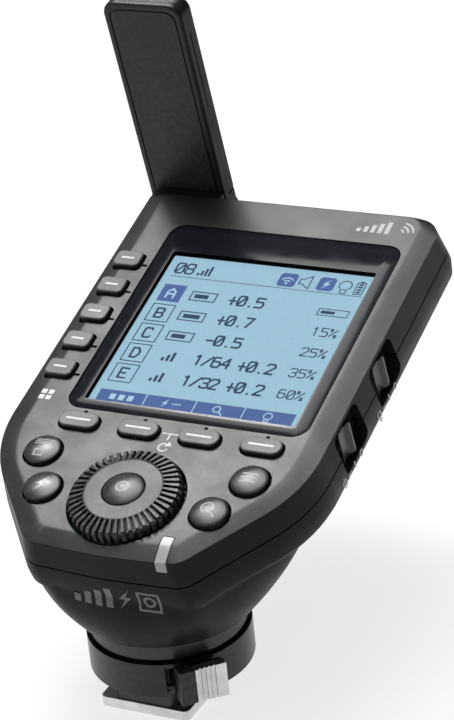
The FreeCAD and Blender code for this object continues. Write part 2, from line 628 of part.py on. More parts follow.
def build_antenna():
    front_y = HINGE_Y - ANTENNA_T / 2
    split = ANTENNA_SPLIT
    back_y = HINGE_Y + ANTENNA_T / 2
    on_front, on_back = at_depth(front_y), at_depth(back_y)
    front = round_edges(blade_slab(front_y, split, 0, 0, HINGE_Z - 5), 0.7, on_front)
    root = round_edges(blade_slab(split - 0.5, back_y, 0, 0, HINGE_Z - 5), 0.7, on_back)
    barrel = cylinder_x(ANTENNA_X[0], ANTENNA_X[1], HINGE_Y, HINGE_Z, ANTENNA_T / 2)
    groove = blade_slab(front_y - 1, front_y + 0.3, 1.3, 1.3, HINGE_Z + 1.0)
    groove = groove.cut(blade_slab(front_y - 2, front_y + 1, 1.6, 1.6, HINGE_Z))
    cavity = blade_slab(split - 0.8, split + 1, 3.2, 3.2, SHOULDER + 4)
    cuts = [groove, cavity]
    for x in (EAR_X[0], EAR_X[1] - EAR):
        cuts.append(box(x - 0.25, x + EAR + 0.25, front_y - 1, back_y + 1,
                        HINGE_Z - 5, HINGE_Z + EAR_R + 0.3))
    pin_x = (EAR_X[0] - PIN_REACH, EAR_X[1] + PIN_REACH)
    cuts.append(cylinder_x(pin_x[0] - 0.1, pin_x[1] + 0.1, HINGE_Y, HINGE_Z, PIN_R + RUNNING))
    front = fuse_all([between(front, HINGE_Z, ANTENNA_TOP + 1), between(root, HINGE_Z, SHOULDER), barrel])
    save("antenna_front", lean(front.cut(Part.makeCompound(cuts))))
    back = blade_slab(split, back_y, 0, 0, SHOULDER + 0.1)
    back = round_edges(back, 0.7, on_back)
    slit = box(ANTENNA_X[1] - 0.6, ANTENNA_X[1] + 1, split - 1, split + 0.35, 19.4, 37.3)
    save("antenna_back", lean(back.cut(slit)))
    element = blade_slab(split - 0.7, split - 0.05, 3.6, 3.6, SHOULDER + 4.4)
    save("antenna_element", lean(element))
    save("antenna_pin", cylinder_x(pin_x[0], pin_x[1], HINGE_Y, HINGE_Z, PIN_R))


# ---- shoe foot and lock ----
PIN_SPOTS = {"contact_center": (0.0, 0.0, 1.25), "contact_left_near": (-3.2, -3.0, 0.85),
             "contact_right_near": (3.2, -3.0, 0.85), "contact_left_far": (-3.2, 3.6, 0.85),
             "contact_right_far": (3.2, 3.6, 0.85)}
FOOT_SCREWS = [(-4.3, -8.3), (4.3, -8.3), (-4.3, 8.3), (4.3, 8.3)]
RAIL_HALF = 6.1            # half width of the neck that passes between the shoe's rails
NECK_FLOOR = 4.7           # the round stem starts above the rails


def head_frame(shape):
    """Turn a shape drawn along +X to the lever's azimuth, about the collar's axis."""
    shape.rotate(V(0, 0, 0), V(0, 0, 1), (LEVER_TURN[0] + LEVER_TURN[1]) / 2)
    shape.translate(V(0, COLLAR_Y, 0))
    return shape


def sector(start, end, radius, z0, z1):
    """Pie slice about the collar's axis, between two azimuths."""
    slice_ = Part.makeCylinder(radius, z1 - z0, V(0, 0, z0), V(0, 0, 1), end - start)
    slice_.rotate(V(0, 0, 0), V(0, 0, 1), start)
    slice_.translate(V(0, COLLAR_Y, 0))
    return slice_


def build_foot():
    foot = rounded_box(-FOOT_X / 2, FOOT_X / 2, -FOOT_Y / 2, FOOT_Y / 2, 0, FOOT_T, 1.2)
    cuts = [rounded_box(-4.95, 4.95, -6.6, 6.6, -1, 3, 0.8)]
    cuts.append(cylinder(0, LOCK_PIN_Y, -1, 3, LOCK_PIN_R + RUNNING))
    for x, y in FOOT_SCREWS:
        cuts.append(cylinder(x, y, -1, 3, 0.8))
        cuts.append(Part.makeCone(1.4, 0.8, 0.9, V(x, y, 0)))
    save("foot_plate", foot.cut(Part.makeCompound(cuts)), panel=False)
    screws = []
    for x, y in FOOT_SCREWS:
        head = Part.makeCone(1.35, 0.75, 0.88, V(x, y, 0.02))
        cross = cross_slot(x, y, 0.9, 0.15, -1, 0.3)
        screws.append(head.fuse(cylinder(x, y, 0.8, 4.8, 0.75)).cut(cross))
    save("foot_screws", Part.makeCompound(screws), panel=False)
    block = rounded_box(-4.85, 4.85, -6.5, 6.5, 0.05, 3.6, 0.7)
    for x, y, radius in PIN_SPOTS.values():
        block = block.cut(cylinder(x, y, -1, 5, radius + RUNNING))
    save("contact_block", block, panel=False)
    for name, (x, y, radius) in PIN_SPOTS.items():
        tip = Part.makeSphere(radius, V(x, y, radius - 0.6))
        rod = cylinder(x, y, radius - 0.6, 4.6, radius)
        save(name, fuse_all([tip, rod, cylinder(x, y, 3.8, 4.3, radius + 0.45)]), panel=False)


def build_lock():
    base = rounded_box(-RAIL_HALF, RAIL_HALF, -9.6, 9.8, FOOT_T, SLEEVE_LOW - 0.05, 1.0)
    stem = fuse_all([base, cylinder(0, COLLAR_Y, NECK_FLOOR, STEM_TOP, STEM_R)])
    cuts = [cylinder(0, COLLAR_Y, SLEEVE_LOW, STEM_TOP + 1, 7.2),
            box(-4.6, 4.6, -4.6, 5.4, 3.6, SLEEVE_LOW + 0.1),
            rounded_box(-4.9, 4.9, -6.55, 6.55, 1, 3.7, 0.7),
            cylinder(0, LOCK_PIN_Y, 1, 6, LOCK_PIN_R + RUNNING),
            cylinder(0, LOCK_PIN_Y, NECK_FLOOR + 0.05, 6, LOCK_PIN_R + 0.65)]
    cuts += [cylinder(x, y, 1, 5.0, 0.75) for x, y in FOOT_SCREWS]
    save("shoe_stem", stem.cut(Part.makeCompound(cuts)), panel=False)
    sleeve = ring(0, COLLAR_Y, SLEEVE_LOW, SLEEVE_HIGH, SLEEVE_R, 13.9)
    web = ring(0, COLLAR_Y, SLEEVE_LOW, SLEEVE_LOW + 1.0, 14.2, STEM_R + 0.02)
    window = sector(-66.4, -30.0, 20, SLEEVE_LOW - 1, SLEEVE_HIGH - 0.9)
    window = window.cut(cylinder(0, COLLAR_Y, 0, 20, 13.6))
    save("lock_sleeve", fuse_all([sleeve, web]).cut(window), panel=False)
    neck = ring(0, COLLAR_Y, SLEEVE_HIGH + 0.5, NECK_TOP + 1.2, NECK_R, STEM_R + 0.02)
    save("neck_ring", neck, panel=False)
    nut = ring(0, COLLAR_Y, NECK_TOP + 1.25, STEM_TOP, 12.5, STEM_R + 0.02)
    save("stem_nut", nut, panel=False)
    hub = ring(0, COLLAR_Y, SLEEVE_LOW + 1.3, SLEEVE_HIGH - 1.5, 13.4, STEM_R + RUNNING)
    arm = head_frame(box(12.6, LEVER_BACK + 0.2, -4.5, -1.9, SLEEVE_LOW + 1.3, SLEEVE_HIGH - 1.5))
    block = head_frame(box(LEVER_BACK, LEVER_FACE, -4.6, -1.5, 5.9, 13.0))
    backing = head_frame(box(LEVER_BACK, LEVER_BACK + 1.3, -1.6, 4.3, 6.3, 12.6))
    save("lock_lever", fuse_all([hub, arm, block, backing]), panel=False)
    tab = box(LEVER_BACK + 1.3, LEVER_FACE + 0.1, -1.5, 4.6, 5.9, 13.0)
    ribs = [box(LEVER_FACE - 0.25, LEVER_FACE + 1, y - 0.2, y + 0.2, 5, 14) for y in (-0.5, 0.4, 1.3, 2.2)]
    save("lever_tab", head_frame(tab.cut(Part.makeCompound(ribs))), panel=False)
    pin = cylinder(0, LOCK_PIN_Y, 0.15, 9.0, LOCK_PIN_R)
    washer = cylinder(0, LOCK_PIN_Y, 6.2, 7.2, LOCK_PIN_R + 0.5)
    save("lock_pin", fuse_all([pin, washer]), panel=False)


def build_case_screws():
    screws = []
    for x, y in SCREWS:
        head = cylinder(x, y, -12.7, -11.25, 1.75)
        cross = cross_slot(x, y, 1.1, 0.2, -13, -12.1)
        screws.append(head.fuse(cylinder(x, y, -11.3, -4.0, 0.78)).cut(cross))
    save("case_screws", Part.makeCompound(screws))


if __name__ == "__main__":
    os.makedirs("parts", exist_ok=True)
    save("top_shell", build_top_shell())
    save("bottom_shell", build_bottom_shell())
    build_display()
    build_boards()
    for number in range(5):
        build_group_button(number)
    for number in range(4):
        build_soft_key(number)
    for button in ROUND_BUTTONS:
        build_round_button(button)
    build_dial()
    build_switches()
    build_status_light()
    build_power()
    build_sockets()
    build_focus_lamp()
    build_antenna()
    build_foot()
    build_lock()
    build_case_screws()
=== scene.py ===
"""Looks of the wireless flash trigger: materials, edge rounding, legends, screen, floor, light and camera."""
import json
import math

import bmesh
import bpy
from mathutils import Matrix, Vector
from mathutils.bvhtree import BVHTree

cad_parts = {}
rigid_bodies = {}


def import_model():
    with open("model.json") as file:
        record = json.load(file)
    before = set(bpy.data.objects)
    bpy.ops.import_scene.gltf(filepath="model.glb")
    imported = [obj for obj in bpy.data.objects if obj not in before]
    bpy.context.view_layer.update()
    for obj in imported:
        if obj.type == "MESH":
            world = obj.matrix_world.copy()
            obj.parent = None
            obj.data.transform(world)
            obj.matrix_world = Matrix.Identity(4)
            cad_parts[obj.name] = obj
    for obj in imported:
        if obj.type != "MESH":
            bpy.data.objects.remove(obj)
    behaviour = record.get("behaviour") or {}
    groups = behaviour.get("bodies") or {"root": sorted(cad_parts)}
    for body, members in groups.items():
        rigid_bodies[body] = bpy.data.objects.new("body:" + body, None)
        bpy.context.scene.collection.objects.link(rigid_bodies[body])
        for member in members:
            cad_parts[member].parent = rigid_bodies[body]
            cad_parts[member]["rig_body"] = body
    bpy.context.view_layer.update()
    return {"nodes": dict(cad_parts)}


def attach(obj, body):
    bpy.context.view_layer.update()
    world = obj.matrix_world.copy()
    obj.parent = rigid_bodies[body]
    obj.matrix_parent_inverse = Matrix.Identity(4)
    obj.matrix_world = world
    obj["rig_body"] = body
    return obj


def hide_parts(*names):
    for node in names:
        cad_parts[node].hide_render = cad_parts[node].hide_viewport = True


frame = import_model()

MM = 0.001
TILT = math.radians(17.7)          # panel against the shoe foot
DIAL_CENTRE = (0, -0.0068, 0.0445)
# Panel frame, in millimetres: X across, Y up the panel from the dial's centre, Z out of it.
PANEL = Matrix.Translation(DIAL_CENTRE) @ Matrix.Rotation(TILT, 4, "X") @ Matrix.Scale(MM, 4)
# Device frame, in millimetres.
DEVICE = Matrix.Scale(MM, 4)


# ---------------------------------------------------------------- materials
def new_material(name):
    """A material with its nodes, its links and its shader."""
    material = bpy.data.materials.new(name)
    material.use_nodes = True
    nodes = material.node_tree.nodes
    return material, nodes, material.node_tree.links, nodes["Principled BSDF"]


def ramp_node(nodes, links, source, low, high, start=0.3, end=0.7):
    """Stretch a factor from start..end to low..high."""
    node = nodes.new("ShaderNodeMapRange")
    node.inputs["From Min"].default_value = start
    node.inputs["From Max"].default_value = end
    node.inputs["To Min"].default_value = low
    node.inputs["To Max"].default_value = high
    links.new(source, node.inputs["Value"])
    return node.outputs["Result"]


def noise(nodes, links, scale, detail=3.0, stretch=None):
    """Noise fixed to the object, stretched along its axes if stretch is given."""
    where = nodes.new("ShaderNodeTexCoord")
    node = nodes.new("ShaderNodeTexNoise")
    node.inputs["Scale"].default_value = scale
    node.inputs["Detail"].default_value = detail
    source = where.outputs["Object"]
    if stretch:
        mapping = nodes.new("ShaderNodeMapping")
        mapping.inputs["Scale"].default_value = stretch
        links.new(source, mapping.inputs["Vector"])
        source = mapping.outputs["Vector"]
    links.new(source, node.inputs["Vector"])
    return node.outputs["Fac"]


def mix_colour(nodes, links, factor, first, second):
    """Mix two colours, each given as a colour or as the output of a node."""
    node = nodes.new("ShaderNodeMix")
    node.data_type = "RGBA"
    links.new(factor, node.inputs["Factor"])
    for socket, value in (("A", first), ("B", second)):
        target = next(s for s in node.inputs if s.name == socket and s.type == "RGBA")
        if hasattr(value, "links"):
            links.new(value, target)
        else:
            target.default_value = (*value, 1)
    return next(s for s in node.outputs if s.type == "RGBA")


def edge_wear_and_highlight(nodes, links, start=0.52, end=0.6):
    """Factor that rises on convex edges, broken up by noise: partly edges rubbed by handling, partly a
    painted highlight along them.
    """
    geometry = nodes.new("ShaderNodeNewGeometry")
    edge = ramp_node(nodes, links, geometry.outputs["Pointiness"], 0, 1, start, end)
    patch = ramp_node(nodes, links, noise(nodes, links, 900), 0, 1, 0.42, 0.62)
    node = nodes.new("ShaderNodeMath")
    node.operation = "MULTIPLY"
    links.new(edge, node.inputs[0])
    links.new(patch, node.inputs[1])
    return node.outputs[0]


def moulded(name, colour, rough=0.42, grain=5200, bump=0.35, specular=0.5, light=1.5, coat=0.0,
            wear_and_highlight=0.006):
    """Moulded plastic: spark-eroded grain, slow tone changes, and convex edges made paler, partly as rubbed
    by handling and partly as a painted highlight.
    """
    material, nodes, links, shader = new_material(name)
    pale = tuple(min(1, c * light) for c in colour)
    # Paler colour for convex edges: partly rubbed plastic, partly a painted highlight.
    worn_and_highlit = tuple(min(1, c * 1.25 * light + wear_and_highlight) for c in colour)
    tone = ramp_node(nodes, links, noise(nodes, links, 70), 0, 1)
    base = mix_colour(nodes, links, tone, colour, pale)
    links.new(mix_colour(nodes, links, edge_wear_and_highlight(nodes, links), base, worn_and_highlit), shader.inputs["Base Color"])
    patches = noise(nodes, links, 160, 5)
    links.new(ramp_node(nodes, links, patches, rough - 0.05, rough + 0.06), shader.inputs["Roughness"])
    shader.inputs["Specular IOR Level"].default_value = specular
    shader.inputs["Coat Weight"].default_value = coat
    shader.inputs["Coat Roughness"].default_value = 0.12
    if bump:
        relief = nodes.new("ShaderNodeBump")
        relief.inputs["Strength"].default_value = bump
        relief.inputs["Distance"].default_value = 0.00004
        links.new(noise(nodes, links, grain, 2), relief.inputs["Height"])
        links.new(relief.outputs["Normal"], shader.inputs["Normal"])
    return material


def metal(name, colour, rough=0.28, stretch=(1, 14, 14), bump=0.2, scale=700):
    """Machined or rolled metal with directional brushing, smudges and scuffs."""
    material, nodes, links, shader = new_material(name)
    dull = tuple(c * 0.78 for c in colour)
    tone = ramp_node(nodes, links, noise(nodes, links, 240, 4), 0, 1)
    links.new(mix_colour(nodes, links, tone, colour, dull), shader.inputs["Base Color"])
    shader.inputs["Metallic"].default_value = 1.0
    brushed = noise(nodes, links, scale, 4, stretch)
    links.new(ramp_node(nodes, links, brushed, rough - 0.08, rough + 0.12), shader.inputs["Roughness"])
    relief = nodes.new("ShaderNodeBump")
    relief.inputs["Strength"].default_value = bump
    relief.inputs["Distance"].default_value = 0.00002
    links.new(brushed, relief.inputs["Height"])
    links.new(relief.outputs["Normal"], shader.inputs["Normal"])
    return material


def ink(name, colour, rough=0.5, glow=0.0, specular=0.5):
    """Printed legend: slightly uneven ink. If it glows, nearly all its colour is in its light."""
    material, nodes, links, shader = new_material(name)
    shader.inputs["Specular IOR Level"].default_value = specular
    thin = tuple(c * 0.92 for c in colour)
    tone = ramp_node(nodes, links, noise(nodes, links, 2500, 3), 0, 1)
    tint = mix_colour(nodes, links, tone, colour, thin)
    links.new(ramp_node(nodes, links, noise(nodes, links, 1800), rough - 0.06, rough + 0.08),
              shader.inputs["Roughness"])
    if glow:
        shader.inputs["Base Color"].default_value = (*(c * 0.05 for c in colour), 1)
        shader.inputs["Emission Strength"].default_value = glow
    links.new(tint, shader.inputs["Emission Color" if glow else "Base Color"])
    return material


shell_black = moulded("shell_plastic", (0.011, 0.0112, 0.0118), 0.38, bump=0.5, specular=0.3)
# Darker, less glossy copy of the shell plastic for faces turned away from the panel's face: painted shade.
shaded_wall_black = moulded("shaded_wall_plastic", (0.008, 0.0081, 0.0086), 0.40, bump=0.5, specular=0.1, light=1.2,
                     wear_and_highlight=0.001)
side_black = moulded("lower_shell_plastic", (0.0065, 0.0066, 0.007), 0.40, bump=0.5, specular=0.1,
                     light=1.2, wear_and_highlight=0.001)
antenna_black = moulded("antenna_plastic", (0.010, 0.0102, 0.0108), 0.36, bump=0.3, specular=0.28,
                        light=1.2)
window_black = moulded("window_gloss", (0.006, 0.0065, 0.009), 0.16, bump=0.0, specular=0.12)
key_grey = moulded("key_top_grey", (0.07, 0.07, 0.073), 0.46, light=1.12, specular=0.35)
button_black = moulded("button_plastic", (0.017, 0.0175, 0.0185), 0.28, specular=0.42)
# The larger edge values on the dial, switches and collar paint brighter edges: partly rubbed plastic, partly
# a painted highlight.
dial_black = moulded("dial_rubber", (0.011, 0.0112, 0.0118), 0.33, bump=0.3, wear_and_highlight=0.05)
switch_black = moulded("switch_plastic", (0.008, 0.0082, 0.0088), 0.26, specular=0.4, wear_and_highlight=0.06)
collar_black = moulded("collar_plastic", (0.008, 0.0082, 0.0088), 0.3, bump=0.2, specular=0.38, wear_and_highlight=0.03)
ring_black = moulded("ring_paint", (0.012, 0.012, 0.0125), 0.3, bump=0.2)
strip_grey = moulded("status_strip", (0.24, 0.245, 0.25), 0.3, bump=0.12, light=1.1)
inner_grey = moulded("inner_plastic", (0.09, 0.09, 0.095), 0.5)
insulator = moulded("insulator_plastic", (0.012, 0.012, 0.012), 0.36)
board_green = moulded("solder_mask", (0.01, 0.09, 0.035), 0.28, grain=2600)
chip_black = moulded("chip_resin", (0.02, 0.02, 0.021), 0.45)
lens_red = moulded("lamp_lens", (0.06, 0.004, 0.006), 0.12, bump=0.05, coat=0.6)
cell_wrap = moulded("cell_wrap", (0.03, 0.12, 0.07), 0.25, bump=0.05)
foot_metal = metal("foot_metal", (0.78, 0.78, 0.79), 0.3)
tab_metal = metal("tab_metal", (0.72, 0.72, 0.73), 0.32, (14, 14, 1))
plain_metal = metal("plated_steel", (0.55, 0.55, 0.56), 0.3)
gold = metal("contact_gold", (0.83, 0.6, 0.28), 0.22, bump=0.08)
dark_metal = metal("screw_steel", (0.12, 0.12, 0.125), 0.36)
copper = metal("antenna_film", (0.75, 0.42, 0.26), 0.3)
dial_grey = moulded("dial_face", (0.035, 0.035, 0.037), 0.46, grain=2600, bump=1.0, specular=0.4)
SCREEN = {"rough": 0.6, "glow": 1.65, "specular": 0.03}
lcd_blue = ink("lcd_field", (0.20, 0.325, 0.40), **SCREEN)
lcd_bar = ink("lcd_bar", (0.05, 0.085, 0.21), **SCREEN)
lcd_dark = ink("lcd_mark", (0.022, 0.04, 0.075), **SCREEN)
lcd_pale = ink("lcd_pale", (0.25, 0.37, 0.46), **SCREEN)
white_ink = ink("legend_white", (0.5, 0.5, 0.51))
grey_ink = ink("legend_grey", (0.30, 0.30, 0.305))
sign_grey = ink("sign_grey", (0.10, 0.10, 0.102), 0.4)
key_mark = ink("key_mark", (0.42, 0.42, 0.425), 0.45)


def clear_window():
    """Clear hard-coated plastic, for the part of the window over the screen."""
    material, nodes, links, shader = new_material("window_clear")
    shader.inputs["Base Color"].default_value = (1, 1, 1, 1)
    shader.inputs["Transmission Weight"].default_value = 1.0
    shader.inputs["IOR"].default_value = 1.0
    links.new(ramp_node(nodes, links, noise(nodes, links, 300), 0.02, 0.05), shader.inputs["Roughness"])
    return material


# ---------------------------------------------------------------- pieces
def merged(source):
    """bmesh of an object's mesh with its split corners welded and its flat facets joined."""
    mesh = bmesh.new()
    mesh.from_mesh(source.data)
    bmesh.ops.remove_doubles(mesh, verts=mesh.verts, dist=2e-6)
    bmesh.ops.dissolve_limit(mesh, angle_limit=math.radians(0.6), verts=mesh.verts, edges=mesh.edges)
    return mesh


def shade(data, angle=32):
    """Smooth shading with edges over the angle kept sharp."""
    data.polygons.foreach_set("use_smooth", [True] * len(data.polygons))
    data.set_sharp_from_angle(angle=math.radians(angle))


def settle(piece):
    """Apply the piece's modifiers."""
    depsgraph = bpy.context.evaluated_depsgraph_get()
    final = bpy.data.meshes.new_from_object(piece.evaluated_get(depsgraph))
    piece.modifiers.clear()
    piece.data = final


def soften(node, material, width, segments=2, angle=32):
    """Stand-in for a CAD node with its hard edges rounded off, width millimetres wide."""
    source = frame["nodes"][node]
    mesh = merged(source)
    data = bpy.data.meshes.new(node + "_skin")
    mesh.to_mesh(data)
    mesh.free()
    piece = bpy.data.objects.new(node + "_skin", data)
    bpy.context.scene.collection.objects.link(piece)
    data.materials.append(material)
    rounding = piece.modifiers.new("edges", "BEVEL")
    rounding.width = width * MM
    rounding.segments = segments
    rounding.limit_method = "ANGLE"
    rounding.angle_limit = math.radians(angle)
    rounding.use_clamp_overlap = True
    settle(piece)
    shade(piece.data, angle)
    even = piece.modifiers.new("normals", "WEIGHTED_NORMAL")
    even.keep_sharp = True
    even.weight = 80
    settle(piece)
    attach(piece, source["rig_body"])
    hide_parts(node)
    return piece


def dress(material, *nodes):
    """Give CAD nodes that keep their mesh a material."""
    for node in nodes:
        data = frame["nodes"][node].data
        data.materials.clear()
        data.materials.append(material)


def paint(piece, material, wanted):
    """Give another material to the faces whose centre and normal, in the panel frame, wanted() picks."""
    piece.data.materials.append(material)
    into = PANEL.inverted()
    turn = into.to_3x3().normalized()
    for face in piece.data.polygons:
        if wanted(into @ face.center, turn @ face.normal):
            face.material_index = len(piece.data.materials) - 1


def key_top(centre, normal):
    """The part of a key's cap above its dark skirt."""
    skirt = 0.55
    return centre.z > skirt


def shaded_wall_side(centre, normal):
    """The walls and the roll-off round the panel, faces turned away from the panel's face, which get a darker
    copy of the shell plastic with less sheen as painted shade.
    """
    flattest = 0.92
    return normal.z < flattest


def antenna_side(centre, normal):
    """The narrow sides of the antenna, which get the darker copy of the shell plastic as painted shade."""
    return abs(normal.x) > 0.5


def dial_face(centre, normal):
    """The disc inside the dial's ribs, above its lower flange."""
    flange, ribs = 2.2, 7.62
    return centre.z > flange and math.hypot(centre.x, centre.y) < ribs and normal.z > 0.3


def rounded(x0, x1, y0, y1, radius, steps=6):
    """Points round a rectangle with round corners."""
    points = []
    for cx, cy, start in ((x1 - radius, y0 + radius, -90), (x1 - radius, y1 - radius, 0),
                          (x0 + radius, y1 - radius, 90), (x0 + radius, y0 + radius, 180)):
        for i in range(steps + 1):
            turn = math.radians(start + 90 * i / steps)
            points.append((cx + radius * math.cos(turn), cy + radius * math.sin(turn)))
    return points


def inset(points, amount):
    """The points of an outline, each moved inwards along X and Y."""
    middle = (sum(p[0] for p in points) / len(points), sum(p[1] for p in points) / len(points))
    return [(x + (amount if x < middle[0] else -amount), y + (amount if y < middle[1] else -amount))
            for x, y in points]


def build_window():
    """The window plate: black border printed round a clear middle."""
    low, high = -1.3, -0.1
    bevel = 0.12
    outer = rounded(-23.18, 27.18, 20.42, 73.68, 3.28)
    inner = rounded(-20.0, 24.2, 23.1, 65.8, 0.4)
    mesh = bmesh.new()
    rings = {}
    for name, outline, z in (("low_out", outer, low), ("side", outer, high - bevel),
                             ("top_out", inset(outer, bevel), high), ("top_in", inner, high),
                             ("low_in", inner, low)):
        rings[name] = [mesh.verts.new((x, y, z)) for x, y in outline]
    count = len(outer)
    for a, b in (("low_out", "side"), ("side", "top_out"), ("top_out", "top_in"), ("low_in", "low_out")):
        for i in range(count):
            j = (i + 1) % count
            mesh.faces.new((rings[a][i], rings[a][j], rings[b][j], rings[b][i]))
    for outline in (rings["top_in"], rings["low_in"][::-1]):
        mesh.faces.new(outline).material_index = 1
    bmesh.ops.recalc_face_normals(mesh, faces=mesh.faces)
    bmesh.ops.transform(mesh, matrix=PANEL, verts=mesh.verts)
    data = bpy.data.meshes.new("window_plate")
    mesh.to_mesh(data)
    mesh.free()
    data.materials.append(window_black)
    data.materials.append(clear_window())
    piece = bpy.data.objects.new("window_plate", data)
    bpy.context.scene.collection.objects.link(piece)
    shade(data, 60)
    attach(piece, "housing")
    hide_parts("display_window")


# CAD nodes that get a stand-in: node, material, width of its rounded edges in millimetres.
SKINS = [
    ("top_shell", shell_black, 0.16), ("bottom_shell", side_black, 0.16), ("battery_door", side_black, 0.12),
    ("control_dial", dial_black, 0.06), ("set_button", button_black, 0.1),
    ("status_light", strip_grey, 0.06), ("power_switch", switch_black, 0.1),
    ("lamp_switch", switch_black, 0.1),
    ("antenna_front", antenna_black, 0.12), ("antenna_back", antenna_black, 0.12),
    ("neck_ring", ring_black, 0.2), ("lock_sleeve", collar_black, 0.25), ("lock_lever", collar_black, 0.2),
    ("lever_tab", tab_metal, 0.12), ("foot_plate", foot_metal, 0.18), ("shoe_stem", ring_black, 0.1),
    ("contact_block", insulator, 0.08), ("focus_lamp", lens_red, 0.1), ("usb_socket", plain_metal, 0.05),
    ("sync_jack", plain_metal, 0.05),
]
for node, material, width in SKINS:
    soften(node, material, width)

for number in range(1, 6):
    paint(soften("group_button_%d" % number, button_black, 0.08), key_grey, key_top)
for number in range(1, 5):
    paint(soften("soft_key_%d" % number, button_black, 0.08), key_grey, key_top)
paint(bpy.data.objects["control_dial_skin"], dial_grey, dial_face)
# The top shell's walls and roll-off and the antenna's narrow sides get the darker copy: painted shade.
paint(bpy.data.objects["top_shell_skin"], shaded_wall_black, shaded_wall_side)
for half in ("antenna_front_skin", "antenna_back_skin"):
    paint(bpy.data.objects[half], shaded_wall_black, antenna_side)
for name in ("mode_button", "test_button", "menu_button", "zoom_button"):
    soften(name, button_black, 0.12)
build_window()
dress(plain_metal, "radio_can", "tact_switches", "battery_plates", "battery_springs", "antenna_pin",
      "lock_pin")
dress(gold, "contact_center", "contact_left_near", "contact_right_near", "contact_left_far",
      "contact_right_far")
dress(dark_metal, "foot_screws", "case_screws", "stem_nut")
dress(board_green, "main_board", "radio_board")
dress(chip_black, "board_chips", "buzzer", "dial_encoder", "switch_bodies")
dress(inner_grey, "lcd_frame", "battery_tray", "lcd_panel")
dress(cell_wrap, "aa_cells")
dress(copper, "antenna_element")


# ---------------------------------------------------------------- legends
def dome(centre_x, centre_y, edge, top, radius):
    """Height function of a button's spherical top."""
    rise = top - edge
    ball = (radius * radius + rise * rise) / (2 * rise)
    return lambda x, y: top - ball + math.sqrt(ball * ball - (x - centre_x) ** 2 - (y - centre_y) ** 2)


def flat(height):
    """Height function of a flat face."""
    return lambda x, y: height


SUNK = 0.02                        # how far ink reaches into the face under it
OVERRUN = 0.6                      # how far a bar runs past its ends, in half widths


class Legend:
    """Collects flat ink shapes drawn in a piece's plane and turns them into one thin closed mesh."""

    def __init__(self, height, frame_matrix=PANEL, thick=0.03, cell=None):
        self.mesh = bmesh.new()
        self.height = height
        self.matrix = frame_matrix
        self.thick = thick
        self.cell = cell           # longest side of a four-sided patch on a curved face

    def patch(self, points):
        """A four-sided patch, cut into cells that follow a curved face, or any polygon on a flat one."""
        if not self.cell or len(points) != 4:
            self.plate(points)
            return
        a, b, c, d = (Vector(point) for point in points)
        across = max(1, math.ceil(max((b - a).length, (c - d).length) / self.cell))
        along = max(1, math.ceil(max((d - a).length, (c - b).length) / self.cell))

        def spot(i, j):
            low, high = a.lerp(b, i / across), d.lerp(c, i / across)
            return tuple(low.lerp(high, j / along))
        for i in range(across):
            for j in range(along):
                self.plate([spot(i, j), spot(i + 1, j), spot(i + 1, j + 1), spot(i, j + 1)])

    def plate(self, points):
        """A polygon, pushed out by the ink's thickness."""
        low = [self.mesh.verts.new((x, y, self.height(x, y) - SUNK)) for x, y in points]
        high = [self.mesh.verts.new((x, y, self.height(x, y) + self.thick)) for x, y in points]
        self.mesh.faces.new(high)
        self.mesh.faces.new(low[::-1])
        for i in range(len(points)):
            j = (i + 1) % len(points)
            self.mesh.faces.new((low[i], low[j], high[j], high[i]))

    def box(self, x0, x1, y0, y1):
        """A filled rectangle."""
        self.patch([(x0, y0), (x1, y0), (x1, y1), (x0, y1)])

    def line(self, points, width, closed=False):
        """A polyline of even width, as one short bar for each run with square ends that meet."""
        runs = list(zip(points, points[1:] + points[:1]))
        if not closed:
            runs.pop()
        for (x0, y0), (x1, y1) in runs:
            length = math.hypot(x1 - x0, y1 - y0)
            along = ((x1 - x0) / length * width / 2, (y1 - y0) / length * width / 2)
            x0, y0 = x0 - along[0] * OVERRUN, y0 - along[1] * OVERRUN
            x1, y1 = x1 + along[0] * OVERRUN, y1 + along[1] * OVERRUN
            side = (-along[1], along[0])
            self.patch([(x0 - side[0], y0 - side[1]), (x1 - side[0], y1 - side[1]),
                        (x1 + side[0], y1 + side[1]), (x0 + side[0], y0 + side[1])])

    def arc(self, x, y, radius, start, end, width, steps):
        """Part of a ring about x, y, between two angles in degrees."""
        turns = [math.radians(start + (end - start) * i / steps) for i in range(steps + 1)]
        for a, b in zip(turns, turns[1:]):
            inner, outer = radius - width / 2, radius + width / 2
            self.patch([(x + inner * math.cos(a), y + inner * math.sin(a)),
                        (x + outer * math.cos(a), y + outer * math.sin(a)),
                        (x + outer * math.cos(b), y + outer * math.sin(b)),
                        (x + inner * math.cos(b), y + inner * math.sin(b))])

    def frame(self, x0, x1, y0, y1, width):
        """The outline of a rectangle."""
        self.line([(x0, y0), (x1, y0), (x1, y1), (x0, y1)], width, True)

    def glyphs(self, text, x, y, size, pitch, width):
        """Characters drawn as strokes on a grid of six by six; size is the character's height."""
        for letter in text:
            for stroke in GLYPHS.get(letter, ()):
                points = [(x + gx / GRID * SLIM * size, y + gy / GRID * size) for gx, gy in stroke]
                self.line(points, width)
            x += pitch

    def done(self, name, material, body):
        """Make one piece of all that was drawn, riding on a body."""
        data = bpy.data.meshes.new(name)
        bmesh.ops.transform(self.mesh, matrix=self.matrix, verts=self.mesh.verts)
        bmesh.ops.recalc_face_normals(self.mesh, faces=self.mesh.faces)
        self.mesh.to_mesh(data)
        self.mesh.free()
        piece = bpy.data.objects.new(name, data)
        bpy.context.scene.collection.objects.link(piece)
        data.materials.append(material)
        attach(piece, body)
        return piece


